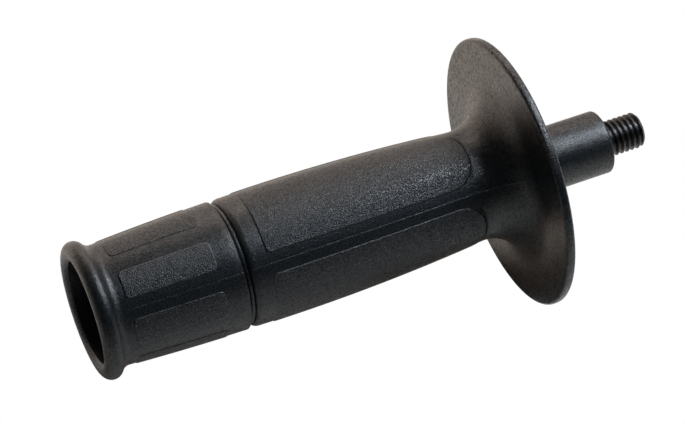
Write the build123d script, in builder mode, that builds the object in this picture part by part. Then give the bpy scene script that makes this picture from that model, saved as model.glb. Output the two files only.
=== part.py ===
from build123d import *

import os
from math import radians, sqrt

# Screw-in side handle, millimetres.
# The handle's axis lies along X. The origin is the centre of the shoulder that meets the machine:
# the threaded stud points along +X and the hollow rear end opens along -X. Z is up.
# Two pieces: one glass-filled nylon moulding, and a hex-headed threaded stud moulded into it.

# Neck and shoulder
neck_diameter = 14.0
neck_length = 21.1
neck_root_chamfer = 0.8
shoulder_edge_chamfer = 0.45

# Guard, the disc that keeps the hand off the machine
guard_diameter = 60.0
guard_thickness = 2.0
guard_dish = 0.4             # how far the rear face leans back between rim and grip
guard_edge_chamfer = 0.45
guard_sweep_radius = 9.2     # hollow curve that carries the grip out into the guard

# Front grip, a long shallow barrel
handle_length = 119.8        # shoulder to rear face
barrel_diameter = 28.2       # at its fullest
barrel_crest_to_guard = 52.4
barrel_curve_radius = 480.0

# Groove round the grip, and the rear section behind it
groove_to_guard = 63.9
groove_width = 0.9
groove_depth = 0.85
groove_rear_chamfer = 0.4
rear_front_diameter = 28.06  # rear section, at the groove
rear_back_diameter = 25.9    # rear section, at the bead

# Half-round bead round the open end
bead_radius = 2.1
bead_height = 2.05           # how far it stands out of the rear section

# Hollow core, left by the mould's core pin
grip_wall = 2.25             # thinnest wall, at either end of the core
bore_mouth_chamfer = 0.6

# Raised, grained panels, laid out from the mould's parting plane
panel_height = 0.15
panel_root = 0.5             # how deep a panel's slab reaches into the wall
parting_turn = -42.3         # the parting plane, turned about X from the horizontal, degrees
panel_edge_gap = 19.0        # bare strip between two panels, degrees
rear_panel_count = 8
rear_panel_lead = 0.177      # of the rear section's length: bare strip from groove to panel
rear_panel_share = 0.576     # of the rear section's length: the panel
front_panel_count = 4
front_panel_start = 33.4
front_panel_length = 48.6
front_panel_flat = 3.0       # straight stretch between the two large rounds at the guard end

# Threaded stud: a plain M8 hex screw, its thread drawn as a smooth cylinder at the major diameter
thread_diameter = 8.0
thread_root_grip = 7.2       # pitch diameter, where the nylon has filled the thread
stud_length = 40.0           # under the head
stud_projection = 9.1        # clear of the shoulder
stud_end_chamfer = 0.55
head_across_flats = 13.0
head_height = 5.3
insert_clearance = 0.02      # hair gap between steel and nylon, so that the solids never overlap

# Places along the axis, worked out from the sizes above
guard_front_x = -neck_length
guard_rim_x = guard_front_x - guard_thickness
guard_rear_x = guard_rim_x - guard_dish
barrel_crest_x = guard_rim_x - barrel_crest_to_guard
groove_x = guard_rim_x - groove_to_guard
groove_front_x = groove_x + groove_width / 2
groove_rear_x = groove_x - groove_width / 2
rear_face_x = -handle_length
bead_x = rear_face_x + bead_radius
head_seat_x = stud_projection - stud_length
head_end_x = head_seat_x - head_height

# Radii that several features share
neck_radius = neck_diameter / 2
guard_radius = guard_diameter / 2
rear_front_radius = rear_front_diameter / 2
rear_back_radius = rear_back_diameter / 2
bead_crest_radius = rear_back_radius + bead_height
bead_centre_radius = bead_crest_radius - bead_radius
bore_depth = head_end_x - rear_face_x     # the bore ends at the stud's head

# The rear panels share the length between the groove and the rear face
rear_length = groove_x - rear_face_x
rear_panel_start = -groove_x + rear_panel_lead * rear_length
rear_panel_length = rear_panel_share * rear_length

# The bead's circle meets the rear section at this place
bead_meet_x = bead_x + sqrt(bead_radius**2 - (rear_back_radius - bead_centre_radius) ** 2)


def barrel_radius(x):
    """Radius of the front grip at a place on the axis: a circular arc, fullest at its crest."""
    run = x - barrel_crest_x
    return barrel_diameter / 2 - (barrel_curve_radius - sqrt(barrel_curve_radius**2 - run**2))


def rear_radius(x):
    """Radius of the rear section at a place on the axis: a straight taper from groove to bead."""
    share = (groove_rear_x - x) / (groove_rear_x - bead_meet_x)
    return rear_front_radius + share * (rear_back_radius - rear_front_radius)


def barrel_curve(from_x, to_x, lift=0.0):
    """The front grip's arc between two places on the axis, raised by the given amount."""
    places = [from_x, (from_x + to_x) / 2, to_x]
    return ThreePointArc(*[(x, barrel_radius(x) + lift) for x in places])


def rear_line(from_x, to_x, lift=0.0):
    """The rear section's taper between two places on the axis, raised by the given amount."""
    return Line((from_x, rear_radius(from_x) + lift), (to_x, rear_radius(to_x) + lift))


def corner(sketch, x, radius_at):
    """The corner of a section that lies nearest the given point."""
    return sketch.vertices().sort_by_distance((x, radius_at, 0)).first


def panel_slab(section, start, length, count, guard_end_flat=None):
    """One raised panel: a block swung through the panel's angle and turned down to its face.
    Its two corners at the guard end are rounded where a flat between them is given."""
    front_x = -start
    rear_x = front_x - length
    arc = 360 / count - panel_edge_gap
    with BuildLine() as outline:
        face = section(front_x, rear_x, panel_height)
        root_radius = min((face @ 0).Y, (face @ 1).Y) - panel_height - panel_root
        root_corners = (rear_x, root_radius), (front_x, root_radius)
        Polyline(face @ 1, *root_corners, face @ 0)
    reach = outline.line.bounding_box().max.Y + 1
    with BuildPart() as slab:
        with BuildSketch(Plane.XY):
            Polygon(*root_corners, (front_x, reach), (rear_x, reach), align=None)
        revolve(axis=Axis.X, revolution_arc=arc)
        if guard_end_flat is not None:
            width = (face @ 0).Y * radians(arc)
            radial_edges = slab.edges().filter_by(GeomType.LINE).filter_by(Plane.YZ)
            fillet(radial_edges.group_by(Axis.X)[-1], radius=(width - guard_end_flat) / 2)
        with BuildSketch(Plane.XY):
            make_face(outline.edges())
        revolve(axis=Axis.X, revolution_arc=arc, mode=Mode.INTERSECT)
    return slab.part


# The core is as wide as the slimmer of the grip's two ends allows
slimmest_radius = min(barrel_radius(head_end_x), rear_back_radius)
bore_radius = slimmest_radius - grip_wall

rear_panel = panel_slab(rear_line, rear_panel_start, rear_panel_length, rear_panel_count)
front_panel = panel_slab(
    barrel_curve, front_panel_start, front_panel_length, front_panel_count, front_panel_flat
)


# The moulding: one turned outline with the panels raised on it, hollowed from the rear
with BuildPart() as handle_moulding:
    with BuildSketch(Plane.XY) as outline:
        with BuildLine():
            Polyline(
                (0, 0),
                (0, neck_radius),
                (guard_front_x, neck_radius),
                (guard_front_x, guard_radius),
                (guard_rim_x, guard_radius),
                (guard_rear_x, barrel_radius(guard_rear_x)),
            )
            barrel_curve(guard_rear_x, groove_front_x)
            Polyline(
                (groove_front_x, barrel_radius(groove_front_x)),
                (groove_front_x, rear_front_radius - groove_depth),
                (groove_rear_x, rear_front_radius - groove_depth),
                (groove_rear_x, rear_front_radius),
            )
            rear_line(groove_rear_x, bead_meet_x)
            ThreePointArc(
                (bead_meet_x, rear_back_radius),
                (bead_x, bead_crest_radius),
                (rear_face_x, bead_centre_radius),
            )
            Polyline((rear_face_x, bead_centre_radius), (rear_face_x, 0), (0, 0))
        make_face()
        chamfer(corner(outline, 0, neck_radius), length=shoulder_edge_chamfer)
        chamfer(corner(outline, guard_front_x, neck_radius), length=neck_root_chamfer)
        chamfer(corner(outline, guard_front_x, guard_radius), length=guard_edge_chamfer)
        chamfer(corner(outline, guard_rim_x, guard_radius), length=guard_edge_chamfer)
        chamfer(corner(outline, groove_rear_x, rear_front_radius), length=groove_rear_chamfer)
        sweep_root = corner(outline, guard_rear_x, barrel_radius(guard_rear_x))
        fillet(sweep_root, radius=guard_sweep_radius)
    revolve(axis=Axis.X)

    for panel, count in ((rear_panel, rear_panel_count), (front_panel, front_panel_count)):
        for index in range(count):
            turn = parting_turn + panel_edge_gap / 2 + index * 360 / count
            add(panel.rotate(Axis.X, turn))

    with BuildSketch(Plane.YZ.offset(rear_face_x)):
        Circle(bore_radius)
    extrude(amount=bore_depth, mode=Mode.SUBTRACT)
    mouth = handle_moulding.edges().filter_by(GeomType.CIRCLE).group_by(Axis.X)[0]
    chamfer(mouth.sort_by(SortBy.RADIUS).first, length=bore_mouth_chamfer)

    # Pocket of the stud: hex head at the bottom of the bore, shank through the neck
    with BuildSketch(Plane.YZ.offset(head_end_x)):
        RegularPolygon(head_across_flats / 2 + insert_clearance, 6, major_radius=False)
    extrude(amount=head_height + insert_clearance, mode=Mode.SUBTRACT)
    with BuildSketch(Plane.YZ.offset(head_end_x)):
        Circle(thread_root_grip / 2 + insert_clearance)
    extrude(amount=-head_end_x, mode=Mode.SUBTRACT)

handle_moulding.part.label = "handle_moulding"


# The stud: hex head, shank gripped by the nylon, and the thread that stands clear of the shoulder
with BuildPart() as threaded_stud:
    with BuildSketch(Plane.YZ.offset(head_end_x)):
        RegularPolygon(head_across_flats / 2, 6, major_radius=False)
    extrude(amount=head_height)
    with BuildSketch(Plane.YZ.offset(head_seat_x)):
        Circle(thread_root_grip / 2)
    extrude(amount=-head_seat_x)
    with BuildSketch(Plane.YZ):
        Circle(thread_diameter / 2)
    extrude(amount=stud_projection)
    stud_tip = threaded_stud.edges().filter_by(GeomType.CIRCLE).sort_by(Axis.X).last
    chamfer(stud_tip, length=stud_end_chamfer)

threaded_stud.part.label = "threaded_stud"


os.makedirs("parts", exist_ok=True)
export_step(handle_moulding.part, "parts/handle_moulding.step")
export_step(threaded_stud.part, "parts/threaded_stud.step")
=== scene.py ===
from math import cos, radians, sin, sqrt, tan

import bpy
import numpy as np
from bpy.props import FloatProperty, FloatVectorProperty, PointerProperty
from mathutils import Matrix, Vector


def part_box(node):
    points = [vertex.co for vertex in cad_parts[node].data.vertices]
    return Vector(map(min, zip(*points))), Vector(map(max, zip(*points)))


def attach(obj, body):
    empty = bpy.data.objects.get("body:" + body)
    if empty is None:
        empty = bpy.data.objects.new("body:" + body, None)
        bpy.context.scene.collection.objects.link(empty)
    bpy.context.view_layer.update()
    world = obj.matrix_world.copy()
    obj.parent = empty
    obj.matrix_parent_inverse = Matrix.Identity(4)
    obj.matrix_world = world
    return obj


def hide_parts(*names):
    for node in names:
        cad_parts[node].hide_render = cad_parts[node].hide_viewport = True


bl_info = {
    "name": "Side handle surfaces",
    "version": (1, 0, 0),
    "blender": (4, 5, 0),
    "location": "3D Viewport > Sidebar > Handle",
    "description": "Dresses the moulded handle and its threaded stud, and lights them",
    "category": "Object",
}

# The frame gives the guard's radius, the rear face and the stud's end
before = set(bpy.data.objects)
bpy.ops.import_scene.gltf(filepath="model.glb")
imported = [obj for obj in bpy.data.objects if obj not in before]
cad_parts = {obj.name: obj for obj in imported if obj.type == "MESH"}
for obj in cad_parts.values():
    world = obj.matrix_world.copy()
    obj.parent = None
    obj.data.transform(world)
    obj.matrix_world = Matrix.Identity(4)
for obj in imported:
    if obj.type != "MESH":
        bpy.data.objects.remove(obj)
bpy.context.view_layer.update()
MM = 0.001
moulding_low, moulding_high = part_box("handle_moulding")
stud_low, stud_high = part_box("threaded_stud")
REAR_FACE_X = moulding_low.x / MM
GUARD_RADIUS = min(*moulding_high.yz, *(-moulding_low).yz) / MM
STUD_END_X = stud_high.x / MM
HEAD_END_X = stud_low.x / MM

# Lengths along the axis and radii, millimetres: the stud points along +X from the shoulder at 0
NECK_RADIUS = 7.0
GUARD_FRONT_X = -21.1
GUARD_RIM_X = -23.1
GUARD_REAR_X = -23.5
SWEEP_RADIUS = 9.2
CREST_X = -75.5
CREST_RADIUS = 14.1
BARREL_CURVE = 480.0
GROOVE_EDGE_X = -85.2
GROOVE_REAR_X = -87.75
REAR_FRONT_RADIUS = 14.03
REAR_BACK_RADIUS = 12.95
BEAD_ROUND = 2.1
BEAD_CREST_RADIUS = 15.0
BORE_RADIUS = 10.24
HEAD_SEAT_X = -30.9
HEAD_FLAT_RADIUS = 6.5
SHANK_RADIUS = 3.6
HAIR_GAP = 0.02

# Rounds on the moulding's edges, as the mould leaves them
SHOULDER_ROUND = 0.6
NECK_ROOT_ROUND = 1.5
RIM_ROUND = 0.7
GROOVE_FRONT_ROUND = (1.35, 0.95)
GROOVE_REAR_ROUND = 0.25
BEAD_ROOT_ROUND = 2.4
LIP_TURN = 48.0
LIP_EDGE_ROUND = 0.3
REAR_CROWN = 0.15

# Floor of the groove: level behind the front round, then down into a narrow slot at the rear wall
GROOVE_WALL_LEAN = 0.02
GROOVE_LEVEL_RADIUS = 13.12
GROOVE_LEVEL_REAR_X = -87.2
SLOT_FRONT_X = -87.45
SLOT_RADIUS = 12.85
GROOVE_FLOOR_ROUNDS = (0.01, 0.1, 0.05, 0.05)

# A nick in the guard's rim: place, half length, depth, angle and half width in degrees, and how
# far in from the rim it can reach
NICK_X = -22.9
NICK_LENGTH = 0.3
NICK_DEPTH = 0.22
NICK_ANGLE = 113.8
NICK_TURN = 0.6
NICK_REACH = 2.0

# Raised panels, laid out from the mould's parting line: angles in degrees, places in millimetres
PARTING_ANGLE = -42.3
PANEL_EDGE_GAP = 19.0
REAR_PANELS = {"count": 8, "front": -92.8, "rear": -112.5, "front_round": 1.0, "rear_round": 1.0}
FRONT_PANELS = {"count": 4, "front": -33.4, "rear": -82.0, "front_round": 6.1, "rear_round": 1.0}

# Half width of the step at a panel's edge, and how far outside it the bent mesh straightens out
STEP_HALF = 0.07
WARP_FULL = 0.35
WARP_REACH = 1.8

# The parting line's ridge: half width of its flat top and of its foot
RIDGE_TOP = 0.04
RIDGE_FOOT = 0.12

# Mesh lines, in millimetres from a panel's edge: over its step, along it, outside it, across it
STEP_LINES = (-0.22, -0.07, 0.0, 0.07, 0.22)
ALONG_LINES = (0.6, 1.0, 1.6, 2.4, 3.4, 4.6, 5.8, 6.6)
OUTER_LINES = (0.7, 1.3, 1.9)
ACROSS_LINES = (0.6, 1.0, 1.6, 2.35, 3.1, 3.85, 4.6, 5.2, 5.6)

# Mesh lines from the middle of a bare strip and of the ridge, and over the nick in half widths
STRIP_LINES = (-1.5, -0.8, 0.0, 0.8, 1.5)
RIDGE_LINES = (-0.20, -0.12, -0.04, 0.04, 0.12, 0.20)
NICK_LINES = (-2.0, -1.2, -0.6, 0.0, 0.6, 1.2, 2.0)

# Plain mesh rows, how far they keep off a panel's rows, and how far those keep off the grip's
# ends; the radius at which a millimetre across becomes an angle, and the least angle between
# two columns
ROW_SPACING = 2.4
ROW_CLEARANCE = 0.8
END_CLEARANCE = 0.1
COLUMN_RADIUS = 13.7
LEAST_COLUMN_TURN = 0.12

# Points that stand for a smooth curve until the mesh rows are cut from it, and the rounding that
# two lengths along the outline may differ by
SWEEP_STEPS = 160
BARREL_POINTS = 200
REAR_POINTS = 300
LIP_STEPS = 60
ROUNDING = 1e-6

# The stud's thread: flat half crest and flank as shares of half a pitch, how much of the flank's
# fall is eased, and the slope with which it runs out at the shoulder
CREST_SHARE = 0.12
FLANK_SHARE = 0.66
EASED_SHARE = 0.3
RUN_OUT_SLOPE = 1.2

# The stud's ends: radius of the flat tip inside its chamfer, how far the head's end circle is
# smaller than its flats, and the angle of the cone between them
STUD_TIP_RADIUS = 3.3
HEAD_CUT_BACK = 0.1
HEAD_CONE = 30.0

# The stud's mesh: rows to a pitch, where they start off the shoulder, degrees between columns
ROWS_PER_PITCH = 22
THREAD_START_X = 0.02
STUD_COLUMN_TURN = 3.75

# Dust gathers in the middle of the groove, and on what faces this way
GROOVE_DUST_X = -86.5
DUST_SIDE = (0.0, 0.55, 0.83)

# Slow swell that the pits give the relief, in millimetres
PIT_SWELL = 0.04

# The camera, fitted to the photograph's circles: its axes, its place in millimetres and its lens
CAMERA_RIGHT = (0.9160032, -0.401146, 0.0044686)
CAMERA_UP = (0.3032889, 0.699755, 0.6468067)
CAMERA_LOOK = (0.2625908, 0.5911217, -0.7626409)
CAMERA_PLACE = (-217.429, -351.469, 458.459)
CAMERA_LENS = 148.543
CAMERA_SENSOR = 36.0

# Lamps: turn from +X and height in degrees, distance from the middle of the handle and size in
# metres, power in watts, and colour
LAMP_TARGET = (-55.0, 0.0, 0.0)
LAMPS = {
    "front lamp": (2, 53, 0.45, (0.18, 0.18), 2.1, "ecf5ff"),
    "back lamp": (70, 32, 0.6, (0.50, 0.30), 1.25, "fff0e6"),
    "low back lamp": (110, 11, 0.6, (0.60, 0.30), 0.45, "ffe6d6"),
    "side lamp": (325, 56, 0.6, (0.30, 0.30), 0.17, "c8e0ff"),
}
FLOOR_HALF = 3.0

# Share of the white background that shows in gloss: painted light, the floor glowing white on its
# lit side in place of the lamps' light there, which begins and is full at these places across, and
# above it
LIT_SIDE_WHITE = 1.0
LIT_SIDE_FROM_Y = 22.0
LIT_SIDE_FULL_Y = 62.0
SKY_WHITE = 0.03

# A painted pool of light on the floor behind the guard's lowest part, glowing white to gloss only:
# its middle along and across, its share of white, and the distances from its middle where it is
# full and where it ends
LIGHT_POOL_PLACE = (-35.0, 12.0)
LIGHT_POOL_WHITE = 0.9
LIGHT_POOL_FULL = 5.0
LIGHT_POOL_END = 19.0


def settings():
    """The scene's own copy of the sizes and colours that a user may change."""
    return bpy.context.scene.side_handle


def linear(hex_colour):
    """An sRGB hex colour, such as "1a1b1c", as linear red, green, blue and a full alpha."""
    parts = np.array([int(hex_colour[k:k + 2], 16) for k in (0, 2, 4)]) / 255
    low = parts / 12.92
    high = ((parts + 0.055) / 1.055) ** 2.4
    return (*np.where(parts <= 0.04045, low, high).tolist(), 1.0)


def unit(vector):
    """The vector at length one."""
    return vector / np.hypot(*vector)


def barrel_radius(x):
    """Radius of the front grip: a circular arc, fullest at its crest."""
    return CREST_RADIUS - (BARREL_CURVE - np.sqrt(BARREL_CURVE**2 - (x - CREST_X) ** 2))


def arc(centre, radius, start, end, steps=24):
    """
    Points of a circular arc between two angles, in degrees, in the (x, radius) plane.
    A pair of radii, along x and along the radius, gives an arc of an ellipse.
    """
    turn = np.radians(np.linspace(start, end, steps + 1))
    return np.array(centre) + np.stack([np.cos(turn), np.sin(turn)], 1) * radius


def angle_from(centre, point):
    """Angle at which a point is seen from a centre, in degrees from +x."""
    return np.degrees(np.arctan2(point[1] - centre[1], point[0] - centre[0]))


def rounded_run(corners, rounds):
    """
    Straight runs through the corners, with an arc of the given radius at each inner corner.
    The arc is tangent to both runs, so it leaves them at radius times the tangent of half the turn.
    Returns the runs and arcs by turns, each as an array of points.
    """
    corners = [np.array(corner, float) for corner in corners]
    pieces = []
    start = corners[0]
    for before, corner, after, radius in zip(corners, corners[1:], corners[2:], rounds):
        come = unit(corner - before)
        leave = unit(after - corner)
        turn = np.arctan2(come[0] * leave[1] - come[1] * leave[0], come @ leave)
        setback = radius * abs(tan(turn / 2))
        enter = corner - come * setback
        side = np.sign(turn) * np.array([-come[1], come[0]])
        centre = enter + side * radius
        pieces.append(np.array([start, enter]))
        first = angle_from(centre, enter)
        pieces.append(arc(centre, radius, first, first + np.degrees(turn)))
        start = corner + leave * setback
    pieces.append(np.array([start, corners[-1]]))
    return pieces


def sweep_arc():
    """
    The hollow curve from the guard into the grip: a circle tangent to the guard's rear face and
    to the grip's own arc. Its centre lies one radius off the face, and its distance from the
    centre of the grip's arc is the two radii added up, which gives a quadratic in the place
    along the face.
    """
    rim = np.array([GUARD_RIM_X, GUARD_RADIUS])
    root = np.array([GUARD_REAR_X, float(barrel_radius(GUARD_REAR_X))])
    along = unit(root - rim)
    off_face = np.array([along[1], -along[0]])
    barrel_centre = np.array([CREST_X, CREST_RADIUS - BARREL_CURVE])
    start = rim + off_face * SWEEP_RADIUS - barrel_centre
    reach = BARREL_CURVE + SWEEP_RADIUS
    half = along @ start
    spread = sqrt(half**2 - start @ start + reach**2)
    place = -half - spread if -half - spread > 0 else -half + spread
    centre = rim + off_face * SWEEP_RADIUS + along * place
    on_face = centre - off_face * SWEEP_RADIUS
    on_barrel = centre + unit(barrel_centre - centre) * SWEEP_RADIUS
    first = angle_from(centre, on_face)
    last = angle_from(centre, on_barrel)
    if last - first > 180:
        last -= 360
    return arc(centre, SWEEP_RADIUS, first, last, SWEEP_STEPS)


def moulding_outline():
    """
    The moulding's closed outline in the (x, radius) plane, from the shank hole at the shoulder,
    over the outside, into the bore and back through the shank hole.
    Returns the named pieces in order, each with its points and the number of steps it is cut into,
    0 where its rows follow the panels.
    """
    hole = SHANK_RADIUS + HAIR_GAP
    sweep = sweep_arc()
    front = rounded_run(
        [
            (0, hole),
            (0, NECK_RADIUS),
            (GUARD_FRONT_X, NECK_RADIUS),
            (GUARD_FRONT_X, GUARD_RADIUS),
            (GUARD_RIM_X, GUARD_RADIUS),
            sweep[0],
        ],
        [SHOULDER_ROUND, NECK_ROOT_ROUND, RIM_ROUND, RIM_ROUND],
    )
    barrel_x = np.linspace(sweep[-1][0], GROOVE_EDGE_X, BARREL_POINTS)
    barrel = np.stack([barrel_x, barrel_radius(barrel_x)], 1)
    groove_centre = barrel[-1] - (0, GROOVE_FRONT_ROUND[1])
    wall_x = groove_centre[0] - GROOVE_FRONT_ROUND[0]
    # The last run only sets which way the groove's rear round turns, and is left off below
    groove = rounded_run(
        [
            (wall_x, groove_centre[1]),
            (wall_x - GROOVE_WALL_LEAN, GROOVE_LEVEL_RADIUS),
            (GROOVE_LEVEL_REAR_X, GROOVE_LEVEL_RADIUS),
            (SLOT_FRONT_X, SLOT_RADIUS),
            (GROOVE_REAR_X, SLOT_RADIUS),
            (GROOVE_REAR_X, REAR_FRONT_RADIUS),
            (GROOVE_REAR_X - 1, REAR_FRONT_RADIUS),
        ],
        [*GROOVE_FLOOR_ROUNDS, GROOVE_REAR_ROUND],
    )
    rear = rear_section(start=groove[-1][0])
    bead_centre = (REAR_FACE_X + BEAD_ROUND, BEAD_CREST_RADIUS - BEAD_ROUND)
    root_centre, root_start, root_end = bead_root(rear, bead_centre)
    rear = np.vstack([rear[rear[:, 0] > root_start[0]], root_start])
    root_first = angle_from(root_centre, root_start)
    root_last = angle_from(root_centre, root_end)
    bead_first = angle_from(bead_centre, root_end)
    lip = arc(bead_centre, BEAD_ROUND, bead_first, 180 + LIP_TURN, LIP_STEPS)
    lip_along = unit(lip[-1] - lip[-2])
    bore = rounded_run(
        [lip[-1], lip[-1] + LIP_EDGE_ROUND * lip_along, (HEAD_END_X, BORE_RADIUS)],
        [LIP_EDGE_ROUND],
    )
    pocket_x = HEAD_SEAT_X + HAIR_GAP
    pocket = HEAD_FLAT_RADIUS + HAIR_GAP
    return [
        ("shoulder", front[0], 2),
        ("shoulder edge", front[1], 5),
        ("neck", front[2], 8),
        ("neck root", front[3], 6),
        ("guard front", front[4], 8),
        ("rim front", front[5], 5),
        ("rim", front[6], 2),
        ("rim rear", front[7], 6),
        ("guard rear", front[8], 9),
        ("sweep", sweep, 22),
        ("barrel", barrel, 0),
        ("groove front", arc(groove_centre, GROOVE_FRONT_ROUND, 90, 180), 8),
        ("groove wall", groove[0], 1),
        *[("groove", run, 1 + index % 2) for index, run in enumerate(groove[1:-2])],
        ("groove rear", groove[-2], 4),
        ("rear", rear, 0),
        ("bead root", arc(root_centre, BEAD_ROOT_ROUND, root_first, root_last), 7),
        ("bead", lip, 24),
        ("lip", bore[0], 1),
        ("lip edge", bore[1], 4),
        ("bore", bore[2], 10),
        ("bore floor", np.array([(HEAD_END_X, BORE_RADIUS), (HEAD_END_X, pocket)]), 1),
        ("pocket wall", np.array([(HEAD_END_X, pocket), (pocket_x, pocket)]), 1),
        ("pocket floor", np.array([(pocket_x, pocket), (pocket_x, hole)]), 1),
        ("shank hole", np.array([(pocket_x, hole), (0, hole)]), 2),
    ]


def rear_section(start):
    """
    The rear section: a straight taper with a slight crown, half a sine wave that is highest in
    the middle.
    """
    end_x = REAR_FACE_X + 2 * BEAD_ROUND
    share = np.linspace(0, 1, REAR_POINTS)
    x = start[0] + share * (end_x - start[0])
    radius = REAR_FRONT_RADIUS + share * (REAR_BACK_RADIUS - REAR_FRONT_RADIUS)
    return np.stack([x, radius + REAR_CROWN * np.sin(np.pi * share)], 1)


def bead_root(rear, bead_centre):
    """
    The small hollow between rear section and bead: its centre lies one radius above the rear
    section, and one radius outside the bead's circle. Found as the first point of the lifted
    rear section that comes that near to the bead's centre.
    Returns the hollow's centre, and where it meets the rear section and the bead.
    """
    slope = np.gradient(rear[:, 1], rear[:, 0])
    normal = np.stack([-slope, np.ones_like(slope)], 1) / np.sqrt(1 + slope**2)[:, None]
    lifted = rear + normal * BEAD_ROOT_ROUND
    away = np.hypot(*(lifted - bead_centre).T) - (BEAD_ROUND + BEAD_ROOT_ROUND)
    place = int(np.argmax(away < 0))
    share = away[place - 1] / (away[place - 1] - away[place])
    centre = lifted[place - 1] + share * (lifted[place] - lifted[place - 1])
    foot = rear[place - 1] + share * (rear[place] - rear[place - 1])
    touch = centre + unit(np.array(bead_centre) - centre) * BEAD_ROOT_ROUND
    return centre, foot, touch


def lengths_along(points):
    """Distance along the outline at each of its points."""
    step = np.hypot(*np.diff(points, axis=0).T)
    return np.concatenate([[0.0], np.cumsum(step)])


def panel_rows(panels):
    """Places along the axis where rows of the mesh follow a panel's ends and rounded corners."""
    inner = np.array(ALONG_LINES)
    inner = inner[inner < (panels["front"] - panels["rear"]) / 2]
    lines = np.concatenate([-np.array(OUTER_LINES), STEP_LINES, inner])
    return np.concatenate([panels["front"] - lines, panels["rear"] + lines])


def grid_rows(pieces):
    """Distances along the outline at which the mesh has a row, and the whole outline."""
    outline = [pieces[0][1]]
    rows = []
    reached = 0.0
    for name, points, steps in pieces:
        outline.append(points[1:])
        along = lengths_along(points) + reached
        if steps:
            rows.append(np.linspace(along[0], along[-1], steps, endpoint=False))
        else:
            wanted = panel_rows(FRONT_PANELS if name == "barrel" else REAR_PANELS)
            plain = np.arange(points[-1][0], points[0][0], ROW_SPACING)
            clear = np.abs(plain[:, None] - wanted[None, :]).min(axis=1) > ROW_CLEARANCE
            first_x = points[0][0] - END_CLEARANCE
            last_x = points[-1][0] + END_CLEARANCE
            inside = (wanted < first_x) & (wanted > last_x)
            places = np.concatenate([wanted[inside], plain[clear], [points[0][0]]])
            places = np.sort(places)[::-1]
            rows.append(np.interp(-places, -points[:, 0], along))
        reached = along[-1]
    return np.concatenate(rows), np.vstack(outline)


def grid_columns():
    """
    Angles at which the mesh has a column, in degrees from the parting line: close lines over
    each panel edge, a few over panels and bare strips, two sets for the parting line's ridge,
    the corners of the head's pocket, and a set over the nick.
    """
    degrees = np.degrees(1 / COLUMN_RADIUS)
    pitch = 360 / REAR_PANELS["count"]
    strips = np.arange(REAR_PANELS["count"])[:, None] * pitch
    first_edges = strips + PANEL_EDGE_GAP / 2
    last_edges = strips + pitch - PANEL_EDGE_GAP / 2
    lines = [
        first_edges + np.array(STEP_LINES) * degrees,
        last_edges + np.array(STEP_LINES) * degrees,
        first_edges + np.array(ACROSS_LINES) * degrees,
        strips + np.array(STRIP_LINES) * degrees,
        np.array([[0.0], [180.0]]) + np.array(RIDGE_LINES) * degrees,
        np.arange(6) * 60.0 - PARTING_ANGLE,
        NICK_ANGLE + NICK_TURN * np.array(NICK_LINES),
    ]
    angles = np.sort(np.concatenate([line.ravel() for line in lines]) % 360)
    apart = np.diff(np.concatenate([angles, [angles[0] + 360]])) > LEAST_COLUMN_TURN
    return angles[apart]


def panel_shape(rows, columns, radius_at, span, panels):
    """
    Raises one ring of panels out of the grid and bends the grid round their corners.

    Each point has a place across its panel and along it, in millimetres from the panel's middle.
    Where it passes the start of a corner's round both ways, the larger of the two overshoots is
    kept as a distance from the round's centre, and their ratio becomes an angle, so that square
    rings turn into circles. Outside the panel the bend fades out. The height follows the distance
    from the panel's edge before the bend, as a smooth step.
    Returns the new rows and columns, and how far each point is raised, from 0 to 1.
    """
    pitch = 360.0 / panels["count"]
    middle = (np.floor(columns / pitch) + 0.5) * pitch
    scale = np.radians(1.0) * radius_at
    across = (columns - middle) * scale
    half_across = (pitch - PANEL_EDGE_GAP) / 2 * scale
    centre = (span[0] + span[1]) / 2
    half_along = (span[1] - span[0]) / 2
    along = rows - centre
    corner = np.where(along < 0, panels["front_round"], panels["rear_round"])
    over_across = np.abs(across) - (half_across - corner)
    over_along = np.abs(along) - (half_along - corner)
    inside = np.minimum(half_across - np.abs(across), half_along - np.abs(along))
    rise = np.clip((inside + STEP_HALF) / (2 * STEP_HALF), 0, 1)
    rise = rise * rise * (3 - 2 * rise)

    bent = (over_across > 0) & (over_along > 0)
    reach = np.maximum(over_across, over_along)
    small = np.minimum(over_across, over_along)
    lean = np.pi / 4 * np.divide(small, reach, out=np.zeros_like(small), where=bent)
    wide = np.where(over_across >= over_along, np.cos(lean), np.sin(lean)) * reach
    long = np.where(over_across >= over_along, np.sin(lean), np.cos(lean)) * reach
    fade = np.clip((reach - corner - WARP_FULL) / (WARP_REACH - WARP_FULL), 0, 1)
    keep = np.where(bent, 1 - fade * fade * (3 - 2 * fade), 0.0)
    new_across = across + np.sign(across) * keep * (wide - over_across)
    new_along = along + np.sign(along) * keep * (long - over_along)
    return centre + new_along, middle + new_across / scale, rise


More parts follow.
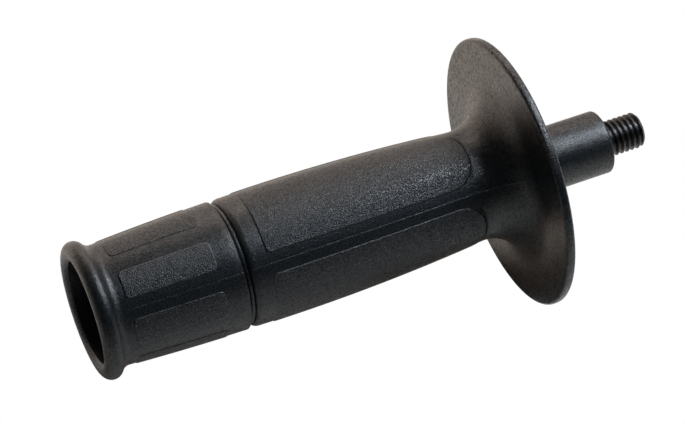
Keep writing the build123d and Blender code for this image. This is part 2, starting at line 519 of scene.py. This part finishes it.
def moulding_surface():
    """
    The moulding as one grid: rows follow the outline, columns go round the axis.
    A point at distance s along the outline and at angle t has the outline's x and radius there,
    plus the raised panel's height and the parting line's low ridge, less the nick, a bell curve
    in x and angle. In the pocket for the stud's head the radius is the hexagon's, the flat's
    distance over the cosine from the flat's middle.
    Returns the points, and for each the share of a panel's height.
    """
    made = settings()
    pieces = moulding_outline()
    rows, outline = grid_rows(pieces)
    names = [name for name, points, steps in pieces]
    lengths = [lengths_along(points)[-1] for name, points, steps in pieces]
    ends = dict(zip(names, np.cumsum(lengths)))
    travelled = lengths_along(outline)
    row_grid, column_grid = np.meshgrid(rows, grid_columns(), indexing="ij")
    raised = np.zeros_like(row_grid)
    for panels, start_name, end_name in (
        (FRONT_PANELS, "guard rear", "barrel"),
        (REAR_PANELS, "groove rear", "rear"),
    ):
        part = (travelled > ends[start_name]) & (travelled < ends[end_name] - ROUNDING)
        span = np.interp(
            [-panels["front"], -panels["rear"]], -outline[part][:, 0], travelled[part]
        )
        radius_at = np.interp(row_grid, travelled, outline[:, 1])
        new_rows, new_columns, rise = panel_shape(row_grid, column_grid, radius_at, span, panels)
        near = (row_grid > span[0] - WARP_REACH) & (row_grid < span[1] + WARP_REACH)
        row_grid = np.where(near, new_rows, row_grid)
        column_grid = np.where(near, new_columns, column_grid)
        raised = np.where(near, rise, raised)

    x = np.interp(row_grid, travelled, outline[:, 0])
    radius = np.interp(row_grid, travelled, outline[:, 1])
    on_grip = (row_grid > ends["guard rear"]) & (row_grid < ends["rear"])
    from_parting = (column_grid + 90) % 180 - 90
    off_parting = np.abs(from_parting) * np.radians(radius)
    ridge_shape = np.clip((RIDGE_FOOT - off_parting) / (RIDGE_FOOT - RIDGE_TOP), 0, 1)
    ridge = np.where(on_grip, made.parting_height / MM, 0.0) * ridge_shape
    away = ((x - NICK_X) / NICK_LENGTH) ** 2 + ((column_grid - NICK_ANGLE) / NICK_TURN) ** 2
    on_rim = radius > GUARD_RADIUS - NICK_REACH
    nick = np.where(on_rim, NICK_DEPTH, 0.0) * np.exp(-away)
    radius = radius + raised * made.panel_height / MM + ridge - nick

    angle = column_grid + PARTING_ANGLE
    from_flat = np.radians(angle % 60 - 30)
    pocket_start = ends["bore floor"] - ROUNDING
    pocket_end = ends["pocket wall"] + ROUNDING
    in_pocket = (row_grid >= pocket_start) & (row_grid < pocket_end)
    radius = np.where(in_pocket, radius / np.cos(from_flat), radius)
    turn = np.radians(angle)
    points = np.stack([x, radius * np.cos(turn), radius * np.sin(turn)], -1)
    return points, raised


def thread_radius(x, turn):
    """
    Radius of a right-hand metric thread. The place within one pitch is x less the pitch times the
    share of a turn; from the middle of the crest the profile is flat for a sixteenth of the pitch,
    falls on a 60 degree flank, and is flat again at the root. Both corners are eased by a smooth
    step, as rolling leaves them.
    """
    made = settings()
    pitch = made.thread_pitch / MM
    phase = (x / pitch - turn / (2 * np.pi)) % 1.0
    from_crest = np.abs(phase - 0.5) * 2
    fall = np.clip((from_crest - CREST_SHARE) / FLANK_SHARE, 0, 1)
    eased = fall * fall * (3 - 2 * fall)
    fall = fall * (1 - EASED_SHARE) + EASED_SHARE * eased
    return made.thread_crest / MM - fall * made.thread_depth / MM


def stud_surface():
    """
    The stud as one grid from the middle of its free end to the middle of its head. Where the
    thread stands clear of the shoulder the radius is the lesser of the thread's and the end
    chamfer's, and close to the nylon no less than the shank's. The head is a hexagon, its flat's
    distance over the cosine from the flat's middle, cut back at the corners by a cone.
    """
    pitch = settings().thread_pitch / MM
    thread_x = np.linspace(STUD_END_X, THREAD_START_X, int(ROWS_PER_PITCH * STUD_END_X / pitch))
    turn = np.radians(np.arange(0, 360, STUD_COLUMN_TURN))
    grid_x, grid_turn = np.meshgrid(thread_x, turn, indexing="ij")
    chamfer = STUD_TIP_RADIUS + (STUD_END_X - grid_x)
    run_out = SHANK_RADIUS - grid_x * RUN_OUT_SLOPE
    radius = np.maximum(np.minimum(thread_radius(grid_x, grid_turn), chamfer), run_out)

    from_flat = turn % (np.pi / 3) - np.pi / 6
    hexagon = HEAD_FLAT_RADIUS / np.cos(from_flat)
    head_round = np.minimum(hexagon, HEAD_FLAT_RADIUS - HEAD_CUT_BACK)
    cone_x = HEAD_END_X + (hexagon - head_round) * tan(radians(HEAD_CONE))
    flat = np.ones_like(turn)
    shank = SHANK_RADIUS * flat

    # Rings before and after the thread, each with its x and its radius: over the flat tip, then
    # along the shank, over the head's seat, along its sides, over the cone and across its end
    tip = [
        (STUD_END_X * flat, radius[0] * 0.35),
        (STUD_END_X * flat, radius[0] * 0.8),
    ]
    shank_and_head = [
        (0.0 * flat, shank),
        (-10.0 * flat, shank),
        (-20.0 * flat, shank),
        (HEAD_SEAT_X * flat, shank),
        (HEAD_SEAT_X * flat, hexagon * 0.8),
        (HEAD_SEAT_X * flat, hexagon),
        ((HEAD_END_X + 2.0) * flat, hexagon),
        (cone_x, hexagon),
        (HEAD_END_X * flat, head_round),
        (HEAD_END_X * flat, head_round * 0.85),
        (HEAD_END_X * flat, head_round * 0.3),
    ]
    tip_x, tip_radius = np.swapaxes(tip, 0, 1)
    rest_x, rest_radius = np.swapaxes(shank_and_head, 0, 1)
    every_x = np.vstack([tip_x, grid_x, rest_x])
    every_radius = np.vstack([tip_radius, radius, rest_radius])
    return np.stack([every_x, every_radius * np.cos(turn), every_radius * np.sin(turn)], -1)


def wrapped_faces(rows, columns, close_rows):
    """
    Quads between neighbouring rows and columns of a grid, wound so that they face outwards where
    rows run towards -X and columns turn from +Y to +Z. The columns wrap round, and the rows too
    where close_rows is true.
    """
    index = np.arange(rows * columns).reshape(rows, columns)
    below = np.roll(index, -1, axis=0) if close_rows else index[1:]
    above = index if close_rows else index[:-1]
    quads = np.stack(
        [above, np.roll(above, -1, axis=1), np.roll(below, -1, axis=1), below], axis=-1
    )
    return quads.reshape(-1, 4)


def make_piece(name, points, faces, material, sharp_angle):
    """
    Puts points, in millimetres, and faces into a new mesh object of that name. It is shaded
    smooth, but for edges that turn by more than the given angle, in degrees.
    """
    mesh = bpy.data.meshes.new(name)
    mesh.from_pydata((points.reshape(-1, 3) * MM).tolist(), [], faces)
    mesh.polygons.foreach_set("use_smooth", np.ones(len(mesh.polygons), bool))
    mesh.set_sharp_from_angle(angle=radians(sharp_angle))
    mesh.materials.append(material)
    mesh.update()
    piece = bpy.data.objects.new(name, mesh)
    bpy.context.scene.collection.objects.link(piece)
    return piece


def add_node(tree, kind, inputs=None, **options):
    """
    Adds a node of that kind and sets its options, and then its inputs: a socket is linked to
    the input, and anything else is the input's own value.
    """
    made = tree.nodes.new(kind)
    for option, value in options.items():
        setattr(made, option, value)
    for name, value in (inputs or {}).items():
        if isinstance(value, bpy.types.NodeSocket):
            tree.links.new(value, made.inputs[name])
        else:
            made.inputs[name].default_value = value
    return made


def new_material(name):
    """A material of that name with an empty node tree, and the tree."""
    material = bpy.data.materials.new(name)
    material.use_nodes = True
    material.node_tree.nodes.clear()
    return material, material.node_tree


def per_metre(millimetres):
    """Scale of a noise whose features are that many millimetres apart, on Object coordinates."""
    return 1 / (millimetres * MM)


def moulded_nylon():
    """
    Glass-filled nylon, dyed black and injection moulded. The mould is finely textured. The glass
    comes to the surface as pale specks, and the same specks carry painted glints, the grain's
    sparkle painted into the colour as pale dots; together they give a soft speckled sheen. The
    panels are spark eroded, a coarser grain that sparkles. Pale dust lies on what faces up,
    thickest in the groove. The grain is really 0.1 mm and finer, and the pits and specks 0.2 mm:
    all are drawn about twice as coarse, and the guard's pits three times, so that they show in the
    render.
    """
    made = settings()
    material, tree = new_material("glass_filled_nylon_moulded")
    place = add_node(tree, "ShaderNodeTexCoord").outputs["Object"]
    along = add_node(tree, "ShaderNodeSeparateXYZ", {"Vector": place}).outputs["X"]
    panel = add_node(tree, "ShaderNodeAttribute", attribute_name="panel").outputs["Fac"]

    # Size in millimetres and detail of the grain, the pits, the guard's pits, the patches of dust
    # and the clouds in the colour
    noises = []
    for millimetres, detail in (
        (made.grain_size / MM, 1.0),
        (0.4, 1.0),
        (0.6, 1.0),
        (1.0, 4.0),
        (12.0, 3.0),
    ):
        inputs = {"Vector": place, "Scale": per_metre(millimetres), "Detail": detail}
        noise = add_node(tree, "ShaderNodeTexNoise", {**inputs, "Roughness": 0.6})
        noises.append(noise.outputs["Fac"])
    fine, pits, guard_pits, patchy, cloudy = noises

    tint = add_node(tree, "ShaderNodeValToRGB", {"Fac": cloudy})
    colours = (made.nylon_colour, made.pale_nylon_colour)
    for stop, position, colour in zip(tint.color_ramp.elements, (0.3, 0.7), colours):
        stop.position = position
        stop.color = colour
    # Pale specks over the tint: glass, and painted glints of the grain's sparkle
    glass_and_glint_speckled = add_node(
        tree,
        "ShaderNodeMix",
        {
            "Factor": glass_and_glint_specks(tree, place, panel),
            "A": tint.outputs["Color"],
            "B": made.glass_and_glint_speck_colour,
        },
        data_type="RGBA",
    ).outputs["Result"]
    dusty = add_node(
        tree,
        "ShaderNodeMix",
        {"Factor": settled_dust(tree, place, along, patchy), "A": glass_and_glint_speckled, "B": made.dust_colour},
        data_type="RGBA",
    ).outputs["Result"]

    # The relief: fine grain, mixed with the rounded bumps of spark erosion, mostly on the panels
    domes = add_node(
        tree,
        "ShaderNodeTexVoronoi",
        {"Vector": place, "Scale": per_metre(made.grain_size / MM * 1.2)},
    ).outputs["Distance"]
    coarse = add_node(
        tree,
        "ShaderNodeMapRange",
        {"Value": domes, "From Max": 0.7, "To Min": 1.0, "To Max": 0.0},
    ).outputs["Result"]
    coarse_share = add_node(
        tree, "ShaderNodeMapRange", {"Value": panel, "To Min": 0.4, "To Max": 0.8}
    ).outputs["Result"]
    grain = add_node(
        tree,
        "ShaderNodeMix",
        {"Factor": coarse_share, "A": fine, "B": coarse},
        data_type="FLOAT",
    ).outputs["Result"]
    height = add_node(
        tree,
        "ShaderNodeMapRange",
        {"Value": panel, "To Min": made.land_grain / MM, "To Max": made.panel_grain / MM},
    ).outputs["Result"]
    swell = add_node(
        tree, "ShaderNodeMath", {0: pits, 1: PIT_SWELL}, operation="MULTIPLY"
    ).outputs["Value"]
    relief = add_node(
        tree, "ShaderNodeMath", {0: grain, 1: height, 2: swell}, operation="MULTIPLY_ADD"
    ).outputs["Value"]
    bump = add_node(
        tree, "ShaderNodeBump", {"Strength": 1.0, "Distance": MM, "Height": relief}
    ).outputs["Normal"]

    # The mould is finer over the guard than over grip and neck
    from_guard = add_node(
        tree, "ShaderNodeMath", {0: along, 1: GUARD_REAR_X * MM}, operation="SUBTRACT"
    ).outputs["Value"]
    off_guard = add_node(
        tree, "ShaderNodeMath", {0: from_guard}, operation="ABSOLUTE"
    ).outputs["Value"]
    on_guard = add_node(
        tree, "ShaderNodeMapRange", {"Value": off_guard, "From Min": 9 * MM, "From Max": 3 * MM}
    ).outputs["Result"]
    polish = add_node(
        tree, "ShaderNodeMapRange", {"Value": on_guard, "To Min": 0.30, "To Max": 0.24}
    ).outputs["Result"]
    rough = add_node(
        tree, "ShaderNodeMapRange", {"Value": panel, "To Min": polish, "To Max": 0.31}
    ).outputs["Result"]

    # The grain breaks up the gloss, so that even a plain reflection shows the texture
    gloss = add_node(
        tree,
        "ShaderNodeMapRange",
        {"Value": fine, "From Min": 0.3, "From Max": 0.7, "To Min": 0.32, "To Max": 0.72},
    ).outputs["Result"]
    skin = add_node(
        tree,
        "ShaderNodeBsdfPrincipled",
        {
            "Base Color": dusty,
            "Roughness": rough,
            "Normal": bump,
            "Specular IOR Level": gloss,
            "IOR": 1.53,
            "Metallic": 0.0,
        },
    ).outputs["BSDF"]

    # Pits swallow part of the light
    dark = add_node(tree, "ShaderNodeBsdfDiffuse", {"Color": linear("08090a")}).outputs["BSDF"]
    here = add_node(
        tree,
        "ShaderNodeMix",
        {"Factor": on_guard, "A": pits, "B": guard_pits},
        data_type="FLOAT",
    ).outputs["Result"]
    pitted = add_node(
        tree,
        "ShaderNodeMapRange",
        {"Value": here, "From Min": 0.56, "From Max": 0.32, "To Max": 0.45},
    ).outputs["Result"]
    surface = add_node(tree, "ShaderNodeMixShader", {0: pitted, 1: skin, 2: dark})
    add_node(tree, "ShaderNodeOutputMaterial", {"Surface": surface.outputs["Shader"]})
    return material


def glass_and_glint_specks(tree, place, panel):
    """
    Share of the specks' colour, glass at the surface and painted glints of the grain's sparkle:
    small round specks, one to each cell of a Voronoi pattern, some brighter than others, faint on
    the bare strips and strongest on the panels.
    """
    dots = add_node(tree, "ShaderNodeTexVoronoi", {"Vector": place, "Scale": per_metre(0.42)})
    strength = add_node(
        tree, "ShaderNodeMapRange", {"Value": panel, "To Min": 0.2, "To Max": 0.85}
    ).outputs["Result"]
    chosen = add_node(
        tree,
        "ShaderNodeMapRange",
        {"Value": dots.outputs["Color"], "From Min": 0.35, "From Max": 0.75, "To Max": strength},
    ).outputs["Result"]
    return add_node(
        tree,
        "ShaderNodeMapRange",
        {"Value": dots.outputs["Distance"], "From Min": 0.34, "From Max": 0.14, "To Max": chosen},
    ).outputs["Result"]


def settled_dust(tree, place, along, patchy):
    """Share of the dust's colour: on the side that faces up, in patches and in the groove."""
    upward = add_node(
        tree, "ShaderNodeVectorMath", {0: place, 1: DUST_SIDE}, operation="DOT_PRODUCT"
    ).outputs["Value"]
    above = add_node(
        tree,
        "ShaderNodeMapRange",
        {"Value": upward, "From Min": 5 * MM, "From Max": 14 * MM, "To Max": settings().dust},
    ).outputs["Result"]
    patches = add_node(
        tree, "ShaderNodeMapRange", {"Value": patchy, "From Min": 0.35, "From Max": 0.65}
    ).outputs["Result"]
    from_groove = add_node(
        tree, "ShaderNodeMath", {0: along, 1: GROOVE_DUST_X * MM}, operation="SUBTRACT"
    ).outputs["Value"]
    beside = add_node(
        tree, "ShaderNodeMath", {0: from_groove}, operation="ABSOLUTE"
    ).outputs["Value"]
    in_groove = add_node(
        tree,
        "ShaderNodeMapRange",
        {
            "Value": beside,
            "From Min": 0.7 * MM,
            "From Max": 1.5 * MM,
            "To Min": 0.8,
            "To Max": 0.0,
        },
    ).outputs["Result"]
    thick = add_node(
        tree, "ShaderNodeMath", {0: patches, 1: in_groove}, operation="MAXIMUM"
    ).outputs["Value"]
    return add_node(
        tree, "ShaderNodeMath", {0: above, 1: thick}, operation="MULTIPLY"
    ).outputs["Value"]


def blackened_steel():
    """
    Steel bolt stock, thread rolled and black oxided. The oxide is thin and a little uneven, so
    the crests shine dimly and the roots stay black. Its patches are 0.6 mm.
    """
    made = settings()
    material, tree = new_material("steel_rolled_black_oxide")
    place = add_node(tree, "ShaderNodeTexCoord").outputs["Object"]
    uneven = add_node(
        tree, "ShaderNodeTexNoise", {"Vector": place, "Scale": per_metre(0.6), "Detail": 3.0}
    ).outputs["Fac"]
    tint = add_node(tree, "ShaderNodeValToRGB", {"Fac": uneven})
    colours = (made.steel_colour, made.worn_steel_colour)
    for stop, position, colour in zip(tint.color_ramp.elements, (0.35, 0.7), colours):
        stop.position = position
        stop.color = colour
    rough = add_node(
        tree, "ShaderNodeMapRange", {"Value": uneven, "To Min": 0.28, "To Max": 0.45}
    ).outputs["Result"]
    surface = add_node(
        tree,
        "ShaderNodeBsdfPrincipled",
        {"Base Color": tint.outputs["Color"], "Roughness": rough, "Metallic": 1.0},
    ).outputs["BSDF"]
    add_node(tree, "ShaderNodeOutputMaterial", {"Surface": surface})
    return material


class HandleSettings(bpy.types.PropertyGroup):
    panel_height: FloatProperty(
        name="Panel height", description="How far the grained panels stand out",
        default=0.15 * MM, unit="LENGTH",
    )
    parting_height: FloatProperty(
        name="Parting line", description="Height of the ridge that the mould's halves leave",
        default=0.05 * MM, unit="LENGTH",
    )
    grain_size: FloatProperty(
        name="Grain size", description="Spacing of the moulded texture, as drawn",
        default=0.19 * MM, unit="LENGTH",
    )
    land_grain: FloatProperty(
        name="Land grain", description="Height of the fine texture between the panels",
        default=0.07 * MM, unit="LENGTH",
    )
    panel_grain: FloatProperty(
        name="Panel grain", description="Height of the spark eroded grain in the panels",
        default=0.10 * MM, unit="LENGTH",
    )
    thread_pitch: FloatProperty(
        name="Thread pitch", description="Distance from crest to crest",
        default=1.25 * MM, unit="LENGTH",
    )
    thread_crest: FloatProperty(
        name="Thread crest", description="Radius of the thread's crests",
        default=3.95 * MM, unit="LENGTH",
    )
    thread_depth: FloatProperty(
        name="Thread depth", description="From the crest down to the root",
        default=0.70 * MM, unit="LENGTH",
    )
    dust: FloatProperty(
        name="Dust", description="How much pale dust lies on what faces up",
        default=0.3, subtype="FACTOR",
    )
    floor_drop: FloatProperty(
        name="Floor", description="Height of the floor below the handle's axis",
        default=-30.5 * MM, unit="LENGTH",
    )
    nylon_colour: FloatVectorProperty(
        name="Nylon", description="The nylon's black where it is darkest",
        default=linear("11171b"), size=4, subtype="COLOR",
    )
    pale_nylon_colour: FloatVectorProperty(
        name="Pale nylon", description="The nylon's black where it is palest",
        default=linear("171a1c"), size=4, subtype="COLOR",
    )
    # Colour of the pale specks: glass at the surface, and painted glints of the grain's sparkle
    glass_and_glint_speck_colour: FloatVectorProperty(
        name="Specks", description="Glass at the nylon's surface",
        default=linear("707478"), size=4, subtype="COLOR",
    )
    dust_colour: FloatVectorProperty(
        name="Dust colour", description="The dust on what faces up",
        default=linear("665a52"), size=4, subtype="COLOR",
    )
    steel_colour: FloatVectorProperty(
        name="Steel", description="The stud's black oxide",
        default=linear("3a3b3e"), size=4, subtype="COLOR",
    )
    worn_steel_colour: FloatVectorProperty(
        name="Worn steel", description="The stud's oxide where it is thin",
        default=linear("55524e"), size=4, subtype="COLOR",
    )


class SIDEHANDLE_OT_camera(bpy.types.Operator):
    """Places the camera as the handle was seen, and a long lens on it"""

    bl_idname = "side_handle.camera"
    bl_label = "Camera"

    def execute(self, context):
        camera_data = bpy.data.cameras.new("camera")
        camera_data.sensor_width = CAMERA_SENSOR
        camera_data.lens = CAMERA_LENS
        camera = bpy.data.objects.new("camera", camera_data)
        axes = (Vector(CAMERA_RIGHT), Vector(CAMERA_UP), -Vector(CAMERA_LOOK))
        turn = Matrix(axes).transposed().to_4x4()
        camera.matrix_world = Matrix.Translation(Vector(CAMERA_PLACE) * MM) @ turn
        context.scene.collection.objects.link(camera)
        context.scene.camera = camera
        return {"FINISHED"}


class SIDEHANDLE_OT_moulding(bpy.types.Operator):
    """Makes the nylon moulding: grip, guard, neck, grained panels, groove and bead"""

    bl_idname = "side_handle.moulding"
    bl_label = "Nylon moulding"

    def execute(self, context):
        points, raised = moulding_surface()
        if not np.isfinite(points).all():
            raise ValueError("the moulding's outline doesn't close: check its rounds")
        faces = wrapped_faces(*points.shape[:2], close_rows=True)
        piece = make_piece("nylon_moulding", points, faces, moulded_nylon(), sharp_angle=50)
        share = piece.data.attributes.new("panel", "FLOAT", "POINT")
        share.data.foreach_set("value", raised.ravel().astype(np.float32))
        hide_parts("handle_moulding")
        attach(piece, "root")
        return {"FINISHED"}


class SIDEHANDLE_OT_stud(bpy.types.Operator):
    """Makes the threaded stud with its rolled thread and hex head"""

    bl_idname = "side_handle.stud"
    bl_label = "Threaded stud"

    def execute(self, context):
        points = stud_surface()
        rows, columns = points.shape[:2]
        points = points.reshape(-1, 3)
        if not np.isfinite(points).all():
            raise ValueError("the stud's thread doesn't fit between its ends")

        # A fan of triangles from one point closes each end
        faces = wrapped_faces(rows, columns, close_rows=False).tolist()
        tip_pole = len(points)
        head_pole = tip_pole + 1
        tip_ring = np.arange(columns)
        head_ring = tip_ring + (rows - 1) * columns
        tip = [np.full(columns, tip_pole), np.roll(tip_ring, -1), tip_ring]
        head = [np.full(columns, head_pole), head_ring, np.roll(head_ring, -1)]
        faces += np.stack(tip, 1).tolist() + np.stack(head, 1).tolist()
        points = np.vstack([points, (STUD_END_X, 0, 0), (HEAD_END_X, 0, 0)])

        piece = make_piece("steel_stud", points, faces, blackened_steel(), sharp_angle=35)
        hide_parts("threaded_stud")
        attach(piece, "root")
        return {"FINISHED"}


class SIDEHANDLE_OT_stage(bpy.types.Operator):
    """Lays the pale floor and hangs the soft lamps"""

    bl_idname = "side_handle.stage"
    bl_label = "Stage and lamps"

    def execute(self, context):
        drop = settings().floor_drop
        mesh = bpy.data.meshes.new("floor")
        corners = [
            (-FLOOR_HALF, -FLOOR_HALF, drop),
            (FLOOR_HALF, -FLOOR_HALF, drop),
            (FLOOR_HALF, FLOOR_HALF, drop),
            (-FLOOR_HALF, FLOOR_HALF, drop),
        ]
        mesh.from_pydata(corners, [], [(0, 1, 2, 3)])
        mesh.materials.append(pale_floor())
        floor = bpy.data.objects.new("floor", mesh)
        context.scene.collection.objects.link(floor)
        for name, lamp in LAMPS.items():
            soft_lamp(name, *lamp)
        white_world(context.scene)
        context.scene.view_settings.view_transform = "Standard"
        return {"FINISHED"}


def seen_white(tree, share):
    """
    How white the surroundings look: wholly to the camera, and by the given share, a number or
    a socket, to mirrored and clear rays.
    """
    rays = add_node(tree, "ShaderNodeLightPath").outputs
    mirrored = add_node(
        tree,
        "ShaderNodeMath",
        {0: rays["Is Glossy Ray"], 1: rays["Is Transmission Ray"]},
        operation="MAXIMUM",
    ).outputs["Value"]
    return add_node(
        tree,
        "ShaderNodeMath",
        {0: mirrored, 1: share, 2: rays["Is Camera Ray"]},
        operation="MULTIPLY_ADD",
    ).outputs["Value"]


def pale_floor():
    """
    Pale warm paper, matt. To the camera it is plain white, as the background of the photograph.
    Gloss sees it glowing white, and a little warm, in painted light: where the lamps behind the
    object reach it, and in a painted pool of light behind the guard. On the near side, in the
    object's shadow, it is as the lamps leave it.
    """
    material, tree = new_material("paper_floor_matt")
    paper = add_node(tree, "ShaderNodeBsdfDiffuse", {"Color": linear("f6f0e8")}).outputs["BSDF"]
    # The glow's colour: plain white to the camera, a warm painted light to gloss
    camera = add_node(tree, "ShaderNodeLightPath").outputs["Is Camera Ray"]
    colour = add_node(
        tree,
        "ShaderNodeMix",
        {"Factor": camera, "A": linear("fff1e4"), "B": linear("ffffff")},
        data_type="RGBA",
    ).outputs["Result"]
    white = add_node(tree, "ShaderNodeEmission", {"Color": colour}).outputs["Emission"]
    place = add_node(tree, "ShaderNodeTexCoord").outputs["Object"]
    across = add_node(tree, "ShaderNodeSeparateXYZ", {"Vector": place}).outputs["Y"]
    # Painted light: the floor glows white to gloss on its lit side, away from the object's shadow
    lit_side = add_node(
        tree,
        "ShaderNodeMapRange",
        {
            "Value": across,
            "From Min": LIT_SIDE_FROM_Y * MM,
            "From Max": LIT_SIDE_FULL_Y * MM,
            "To Max": LIT_SIDE_WHITE,
        },
        interpolation_type="SMOOTHSTEP",
    ).outputs["Result"]
    # Painted pool of light behind the guard: the floor glows white to gloss there
    light_pool_place = (LIGHT_POOL_PLACE[0] * MM, LIGHT_POOL_PLACE[1] * MM, settings().floor_drop)
    from_light_pool = add_node(
        tree, "ShaderNodeVectorMath", {0: place, 1: light_pool_place}, operation="DISTANCE"
    ).outputs["Value"]
    patch = add_node(
        tree,
        "ShaderNodeMapRange",
        {
            "Value": from_light_pool,
            "From Min": LIGHT_POOL_END * MM,
            "From Max": LIGHT_POOL_FULL * MM,
            "To Max": LIGHT_POOL_WHITE,
        },
        interpolation_type="SMOOTHSTEP",
    ).outputs["Result"]
    share = add_node(
        tree, "ShaderNodeMath", {0: lit_side, 1: patch}, operation="MAXIMUM"
    ).outputs["Value"]
    surface = add_node(
        tree, "ShaderNodeMixShader", {0: seen_white(tree, share), 1: paper, 2: white}
    ).outputs["Shader"]
    add_node(tree, "ShaderNodeOutputMaterial", {"Surface": surface})
    return material


def white_world(scene):
    """A white background to the camera, and a dim even light from all round to the object."""
    world = bpy.data.worlds.new("studio")
    world.use_nodes = True
    tree = world.node_tree
    tree.nodes.clear()
    dim = add_node(
        tree, "ShaderNodeBackground", {"Color": linear("dce8f4"), "Strength": 0.04}
    ).outputs["Background"]
    white = add_node(
        tree, "ShaderNodeBackground", {"Color": linear("ffffff"), "Strength": 1.0}
    ).outputs["Background"]
    surface = add_node(
        tree, "ShaderNodeMixShader", {0: seen_white(tree, SKY_WHITE), 1: dim, 2: white}
    ).outputs["Shader"]
    add_node(tree, "ShaderNodeOutputWorld", {"Surface": surface})
    scene.world = world


def soft_lamp(name, turn, height, distance, size, power, hex_colour):
    """
    A rectangular area lamp, turned round the object from +X and raised, in degrees, and hung
    that far from the middle of the handle, in metres.
    """
    target = Vector(LAMP_TARGET) * MM
    turn = radians(turn)
    height = radians(height)
    way = Vector((cos(height) * cos(turn), cos(height) * sin(turn), sin(height)))
    data = bpy.data.lights.new(name, "AREA")
    data.shape = "RECTANGLE"
    data.size, data.size_y = size
    data.energy = power
    data.color = linear(hex_colour)[:3]
    lamp = bpy.data.objects.new(name, data)
    aim = (-way).to_track_quat("-Z", "Y").to_matrix().to_4x4()
    lamp.matrix_world = Matrix.Translation(target + distance * way) @ aim
    bpy.context.scene.collection.objects.link(lamp)


class SIDEHANDLE_PT_panel(bpy.types.Panel):
    bl_label = "Side handle"
    bl_idname = "SIDEHANDLE_PT_panel"
    bl_space_type = "VIEW_3D"
    bl_region_type = "UI"
    bl_category = "Handle"

    def draw(self, context):
        layout = self.layout
        made = settings()
        for name in HandleSettings.__annotations__:
            layout.prop(made, name)
        for operator in OPERATORS:
            layout.operator(operator.bl_idname)


OPERATORS = (
    SIDEHANDLE_OT_camera,
    SIDEHANDLE_OT_moulding,
    SIDEHANDLE_OT_stud,
    SIDEHANDLE_OT_stage,
)


def register():
    for made in (HandleSettings, *OPERATORS, SIDEHANDLE_PT_panel):
        bpy.utils.register_class(made)
    bpy.types.Scene.side_handle = PointerProperty(type=HandleSettings)


def unregister():
    del bpy.types.Scene.side_handle
    for made in (SIDEHANDLE_PT_panel, *reversed(OPERATORS), HandleSettings):
        bpy.utils.unregister_class(made)


def main():
    register()
    bpy.ops.side_handle.camera()
    bpy.ops.side_handle.moulding()
    bpy.ops.side_handle.stud()
    bpy.ops.side_handle.stage()


if __name__ == "__main__":
    main()
